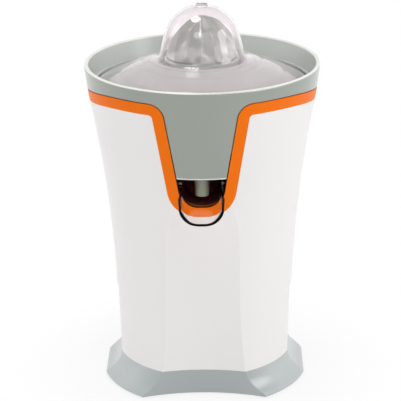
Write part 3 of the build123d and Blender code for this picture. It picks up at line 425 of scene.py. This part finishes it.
def build_cone():
    """Two tall blades crossed by two lower ones, four short ribs, and hollow flutes between."""
    base, foot, rings, per = CONE_BASE, CONE_FOOT, CONE_RINGS, CONE_COLUMNS
    tall = [(27.2, foot), (27.8, 259.2), (27.8, 262.0), (27.2, 265.8), (25.7, 270.0), (23.2, 274.2),
            (20.2, 277.8), (16.4, 281.4), (12.0, 284.8), (7.6, 287.3), (3.6, 288.7), (0.0, CONE_TOP)]
    crossed = [(27.2, foot), (27.8, 259.2), (27.8, 262.0), (27.2, 265.8), (25.7, 270.0), (23.2, 274.2),
               (20.2, 277.8), (16.6, 281.6), (13.4, 284.5), (10.8, 286.0), (7.0, 287.4), (3.6, 288.6),
               (0.0, CONE_TOP)]
    short = [(27.2, foot), (27.7, 259.2), (27.5, 262.0), (26.5, 265.8), (24.4, 269.8), (21.4, 273.6),
             (18.2, 276.8), (14.4, 280.0), (10.4, 282.8), (6.8, 284.8), (3.4, 286.8), (0.0, CONE_TOP)]
    crests = {key: resample(smooth_line(line, 10), rings)
              for key, line in (("tall", tall), ("crossed", crossed), ("short", short))}
    order = ["tall", "short", "crossed", "short"] * 2
    around = per * len(order)
    degrees = [CONE_TURN + 360.0 * column / around for column in range(around)]
    points, faces, rows = [], [], []

    def add_row(radii, heights):
        """One ring of points, a column each."""
        row = []
        for r, z, turn in zip(radii, heights, degrees):
            turn = math.radians(turn)
            points.append((r * math.cos(turn), r * math.sin(turn), z))
            row.append(len(points) - 1)
        return row

    def join(upper, lower):
        """Faces between a ring and the one after it down the underside."""
        for n in range(around):
            m = (n + 1) % around
            faces.append([upper[m], upper[n], lower[n], lower[m]])

    for ring in range(rings - 1):
        radii, heights = [], []
        share = ring / (rings - 1)
        rise = min(1.0, max(0.0, (share - 0.03) / 0.16))
        for column in range(around):
            k, s = divmod(column, per)
            s = s / per
            r0, z0 = crests[order[k]][ring]
            r1, z1 = crests[order[(k + 1) % len(order)]][ring]
            r, z = r0 + (r1 - r0) * s, z0 + (z1 - z0) * s
            hollow = 4 * s * (1 - s)
            depth = FLUTE_DEPTH * math.sin(rise * math.pi / 2) * min(1.0, r / FLUTE_FULL_RADIUS) * hollow
            radii.append(max(0.05, r - depth * FLUTE_INWARD))
            heights.append(z - depth * FLUTE_DOWN * share)
        rows.append(add_row(radii, heights))
    for low, high in zip(rows, rows[1:]):
        for n in range(around):
            m = (n + 1) % around
            faces.append([low[n], low[m], high[m], high[n]])
    points.append((0.0, 0.0, CONE_TOP))
    apex = len(points) - 1
    for n in range(around):
        faces.append([rows[-1][n], rows[-1][(n + 1) % around], apex])
    # round foot, hollow underside and the hub with its hexagonal socket
    under = [
        (27.7, foot - 0.3), (28.2, foot - 0.8), (28.6, foot - 1.4), (28.9, foot - 2.2),
        (28.9, base + 0.5), (28.4, base), (22.0, base), (21.4, base + 0.4),
        (18.0, 258.0), (14.2, 263.6), (13.4, 264.0), (8.2, 264.0), (7.6, 263.4),
        (7.6, 241.0), (7.0, HUB_BOTTOM),
    ]
    levels = [([radius] * around, z) for radius, z in under]
    socket = [SOCKET_FLAT / math.cos(math.radians((turn % 60.0) - 30.0)) for turn in degrees]
    levels += [(socket, HUB_BOTTOM), (socket, SOCKET_END)]
    previous = rows[0]
    for radii, z in levels:
        row = add_row(radii, [z] * around)
        join(previous, row)
        previous = row
    faces.append(list(previous))
    obj = piece("cone_blades", points, faces, cone_grey, "cone")
    obj.data.set_sharp_from_angle(angle=SHARP_ANGLE)
    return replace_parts(obj, "reamer_cone")


# ------------------------------------------------------------------ lid
LID_WALL = 1.5
DOME_CENTRE, DOME_RADIUS = 268.2, 29.3
BRIM_INNER, BRIM_OUTER = (36.0, 256.0), (80.97, 238.2)
BRIM_CROWN = 1.3
LID_FOOT = 234.6


def brim_height(radius):
    """Height of the brim's upper face: a straight fall with a slight crown."""
    share = (radius - BRIM_INNER[0]) / (BRIM_OUTER[0] - BRIM_INNER[0])
    fall = BRIM_INNER[1] + (BRIM_OUTER[1] - BRIM_INNER[1]) * share
    return fall + 4 * BRIM_CROWN * share * (1 - share)


def build_lid():
    """Thin clear lid: dome, sweep into the brim with two moulded steps, and a short edge."""
    outer = []
    for a in range(10, 75, 3):
        turn = math.radians(a)
        outer.append((DOME_RADIUS * math.sin(turn), DOME_CENTRE + DOME_RADIUS * math.cos(turn)))
    outer += smooth_line(
        [(28.6, 274.6), (29.8, 270.4), (31.2, 265.6), (32.3, 261.6), (33.4, 258.9), (35.2, 257.1),
         (37.6, 255.9)], 5
    )
    for start, end, sunk in ((38.6, 46.0, 0.0), (46.6, 62.0, 0.3), (62.6, 79.4, 0.6)):
        for n in range(9):
            radius = start + (end - start) * n / 8
            outer.append((radius, brim_height(radius) - sunk))
    outer += [(80.5, 238.0), (80.97, 237.4), (80.97, LID_FOOT + 0.3), (80.7, LID_FOOT)]
    below = []
    for n, (r, z) in enumerate(outer[:-3]):
        a = outer[max(0, n - 1)]
        b = outer[min(len(outer) - 4, n + 1)]
        along = Vector((b[0] - a[0], b[1] - a[1])).normalized()
        below.append((max(0.5, r + along.y * LID_WALL), z - along.x * LID_WALL))
    inner = BRIM_OUTER[0] - LID_WALL
    edge = [(inner + 0.3, LID_FOOT), (inner, LID_FOOT + 0.3), (inner, 236.2)]
    crown = DOME_CENTRE + DOME_RADIUS + 1.5
    nub = [(0.0, crown), (2.4, crown), (3.9, crown - 0.3), (4.5, crown - 0.9), (4.6, crown - 1.9)]
    inside = [(0.0, below[0][1])]
    profile = nub + outer + edge + [p for p in reversed(below) if p[0] < 79.0] + inside
    points, faces = lathe(profile, 192)
    obj = piece("clear_lid_shell", points, faces, lid_clear, "lid")
    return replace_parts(obj, "lid")


# ------------------------------------------------------------------ trough edge, a painted shade
EDGE_FRONT, EDGE_BACK = -92.05, -91.4
EDGE_TOP_WIDTH, EDGE_SIDE_GAIN, EDGE_FLANK_GAIN = 1.2, 0.45, 0.75


def build_painted_trough_edge():
    """Painted shade on the clear trough's front end, where its edge looks dark: a thin dark U-shaped
    plate.
    """
    front, back = EDGE_FRONT, EDGE_BACK
    outer = [(16.9, 175.7), (16.8, 172.5), (16.5, 168.0), (16.3, 164.7), (14.4, 160.3), (11.2, 156.85),
             (7.1, 154.6), (2.45, 153.87), (0.0, 153.87)]
    outer = resample(smooth_line(outer + [(-x, z) for x, z in reversed(outer[:-1])], 8), 97)
    points, faces, rows = [], [], []
    for n, (x, z) in enumerate(outer):
        a, b = outer[max(0, n - 1)], outer[min(len(outer) - 1, n + 1)]
        along = Vector((b[0] - a[0], b[1] - a[1])).normalized()
        share = min(1.0, max(0.0, (172.0 - z) / 8.0))
        flank = math.sin(math.pi * min(1.0, max(0.0, (z - 154.0) / 13.0)))
        width = EDGE_TOP_WIDTH + EDGE_SIDE_GAIN * share + EDGE_FLANK_GAIN * flank
        inner = (x + along.y * width, z - along.x * width)
        row = []
        for y, (px, pz) in ((front, (x, z)), (front, inner), (back, inner), (back, (x, z))):
            points.append((px, y, pz))
            row.append(len(points) - 1)
        rows.append(row)
    for low, high in zip(rows, rows[1:]):
        for n in range(4):
            m = (n + 1) % 4
            faces.append([low[n], low[m], high[m], high[n]])
    faces.append(list(reversed(rows[0])))
    faces.append(list(rows[-1]))
    obj = piece("spout_rim_painted_shade", points, faces, painted_rim_shade, "spout")
    obj.data.set_sharp_from_angle(angle=SHARP_ANGLE)
    return obj


# ------------------------------------------------------------------ return spring
COIL_RADIUS, COIL_WIRE, COIL_TURNS = 5.7, 0.6, 3.5
COIL_STEPS, COIL_SIDES = 140, 12


def build_return_coil():
    """The return spring's coil, on a mesh of its own."""
    low, high = (corner[2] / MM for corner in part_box("return_spring"))
    rise = high - low - 2 * COIL_WIRE
    points, faces = [], []
    for n in range(COIL_STEPS + 1):
        share = n / COIL_STEPS
        turn = 2 * math.pi * COIL_TURNS * share
        for k in range(COIL_SIDES):
            around = 2 * math.pi * k / COIL_SIDES
            radius = COIL_RADIUS + COIL_WIRE * math.cos(around)
            z = low + COIL_WIRE + rise * share + COIL_WIRE * math.sin(around)
            points.append((radius * math.cos(turn), radius * math.sin(turn), z))
    for n in range(COIL_STEPS):
        a, b = n * COIL_SIDES, (n + 1) * COIL_SIDES
        for k in range(COIL_SIDES):
            m = (k + 1) % COIL_SIDES
            faces.append([a + k, b + k, b + m, a + m])
    faces.append(list(range(COIL_SIDES)))
    faces.append([len(points) - 1 - k for k in range(COIL_SIDES)])
    obj = piece("return_coil", points, faces, bar, "output")
    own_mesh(obj)
    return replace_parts(obj, "return_spring")


# ------------------------------------------------------------------ screw recesses, as painted shade
DECK_SCREW_CIRCLE, DECK_SCREW_TOP = 73.0, 198.0


def build_recess_shades(name, places, height, body):
    """Cross recesses in the screw heads, as a thin dark inlay: painted shade in place of the hollow."""
    points, faces = [], []
    lift = 0.03
    w, r = 0.42, 1.55
    shape = [(r, w), (w, w), (w, r), (-w, r), (-w, w), (-r, w), (-r, -w), (-w, -w),
             (-w, -r), (w, -r), (w, -w), (r, -w)]
    for x, y in places:
        start = len(points)
        turn = math.radians(17.0 * x + 29.0 * y)
        for px, py in shape:
            qx = px * math.cos(turn) - py * math.sin(turn)
            qy = px * math.sin(turn) + py * math.cos(turn)
            points.append((x + qx, y + qy, height + lift))
        faces.append(list(range(start, start + len(shape))))
    return piece(name, points, faces, rubber, body, smooth=False)


build_cone()
build_lid()
build_painted_trough_edge()
build_return_coil()
deck = DECK_SCREW_CIRCLE / math.sqrt(2)
deck_places = [(x * deck, y * deck) for x in (-1, 1) for y in (-1, 1)]
build_recess_shades("deck_screw_recess_shade", deck_places, DECK_SCREW_TOP, "stand")


# ------------------------------------------------------------------ floor, lights and camera
FLOOR_HALF = 12.0


def seen_rays(tree):
    """1 for camera, glossy and transmission rays, 0 for the rays that light the object."""
    path = tree.nodes.new("ShaderNodeLightPath")
    seen = path.outputs["Is Camera Ray"]
    for name in ("Is Glossy Ray", "Is Transmission Ray"):
        either = tree.nodes.new("ShaderNodeMath")
        either.operation = "MAXIMUM"
        tree.links.new(seen, either.inputs[0])
        tree.links.new(path.outputs[name], either.inputs[1])
        seen = either.outputs["Value"]
    return seen


def build_floor():
    """Pale floor: white where it is seen away from the object, with the object's shadow kept near it."""
    mesh = bpy.data.meshes.new("floor")
    corners = [(x * FLOOR_HALF, y * FLOOR_HALF, 0) for x, y in ((-1, -1), (1, -1), (1, 1), (-1, 1))]
    mesh.from_pydata(corners, [], [(0, 1, 2, 3)])
    floor = bpy.data.objects.new("floor", mesh)
    bpy.context.scene.collection.objects.link(floor)
    mat = bpy.data.materials.new("floor_white")
    mat.use_nodes = True
    tree = mat.node_tree
    tree.nodes.clear()
    out = tree.nodes.new("ShaderNodeOutputMaterial")
    paper = tree.nodes.new("ShaderNodeBsdfDiffuse")
    paper.inputs["Color"].default_value = (0.86, 0.86, 0.86, 1.0)
    glow = tree.nodes.new("ShaderNodeEmission")
    glow.inputs["Color"].default_value = (1.0, 1.0, 1.0, 1.0)
    glow.inputs["Strength"].default_value = 1.0
    where = tree.nodes.new("ShaderNodeTexCoord")
    distance = tree.nodes.new("ShaderNodeVectorMath")
    distance.operation = "LENGTH"
    tree.links.new(where.outputs["Object"], distance.inputs[0])
    fade = tree.nodes.new("ShaderNodeMapRange")
    fade.interpolation_type = "SMOOTHSTEP"
    fade.inputs["From Min"].default_value = 0.085
    fade.inputs["From Max"].default_value = 0.17
    fade.inputs["To Min"].default_value = 0.84
    fade.inputs["To Max"].default_value = 1.0
    tree.links.new(distance.outputs["Value"], fade.inputs["Value"])
    amount = tree.nodes.new("ShaderNodeMath")
    amount.operation = "MULTIPLY"
    tree.links.new(seen_rays(tree), amount.inputs[0])
    tree.links.new(fade.outputs["Result"], amount.inputs[1])
    mix = tree.nodes.new("ShaderNodeMixShader")
    tree.links.new(amount.outputs["Value"], mix.inputs["Fac"])
    tree.links.new(paper.outputs["BSDF"], mix.inputs[1])
    tree.links.new(glow.outputs["Emission"], mix.inputs[2])
    tree.links.new(mix.outputs["Shader"], out.inputs["Surface"])
    mesh.materials.append(mat)


def build_world():
    """White surroundings that light the object less than they show."""
    world = bpy.data.worlds.new("studio")
    bpy.context.scene.world = world
    world.use_nodes = True
    tree = world.node_tree
    tree.nodes.clear()
    out = tree.nodes.new("ShaderNodeOutputWorld")
    back = tree.nodes.new("ShaderNodeBackground")
    level = tree.nodes.new("ShaderNodeMapRange")
    level.inputs["To Min"].default_value = 0.62
    level.inputs["To Max"].default_value = 1.0
    tree.links.new(seen_rays(tree), level.inputs["Value"])
    tree.links.new(level.outputs["Result"], back.inputs["Strength"])
    back.inputs["Color"].default_value = (1.0, 1.0, 1.0, 1.0)
    tree.links.new(back.outputs["Background"], out.inputs["Surface"])


def area_light(name, shape, place, target, size, power):
    """An area lamp at a place, turned towards a target."""
    data = bpy.data.lights.new(name, "AREA")
    data.shape = shape
    data.size, data.size_y = size
    data.energy = power
    lamp = bpy.data.objects.new(name, data)
    bpy.context.scene.collection.objects.link(lamp)
    lamp.location = place
    lamp.rotation_euler = (Vector(target) - Vector(place)).to_track_quat("-Z", "Y").to_euler()
    return lamp


def build_camera():
    """The camera at the photograph's angle."""
    data = bpy.data.cameras.new("camera")
    data.lens = 146.02
    data.sensor_width = 36.0
    camera = bpy.data.objects.new("camera", data)
    bpy.context.scene.collection.objects.link(camera)
    yaw, pitch, roll = math.radians(1.1), math.radians(20.07), math.radians(-0.654)
    ahead = Vector((-math.sin(yaw) * math.cos(pitch), math.cos(yaw) * math.cos(pitch), -math.sin(pitch)))
    turn = ahead.to_track_quat("-Z", "Y") @ Quaternion((0, 0, 1), roll)
    camera.location = (0.02063, -1.19982, 0.5789)
    camera.rotation_mode = "QUATERNION"
    camera.rotation_quaternion = turn
    bpy.context.scene.camera = camera


build_floor()
build_world()
for name, place, size, power in (
    ("key", (0.5, -1.5, 1.0), (1.2, 1.2), 11.0),
    ("right", (1.35, 0.25, 0.45), (0.9, 1.3), 6.5),
    ("left", (-1.35, 0.25, 0.45), (0.9, 1.3), 7.5),
):
    area_light(name, "RECTANGLE", place, (0, 0, 0.15), size, power).visible_glossy = False
# softboxes that only glossy surfaces answer to
for name, place, size, power in (
    ("sheen_top", (-0.36, -0.02, 1.71), 0.6, 7.0),
    ("sheen_front", (-0.30, -1.09, 1.05), 0.52, 2.0),
    ("sheen_right", (1.31, -0.46, 0.84), 0.8, 6.0),
):
    area_light(name, "DISK", place, (0, 0, 0.27), (size, size), power).visible_diffuse = False
build_camera()
bpy.context.scene.view_settings.view_transform = "Standard"
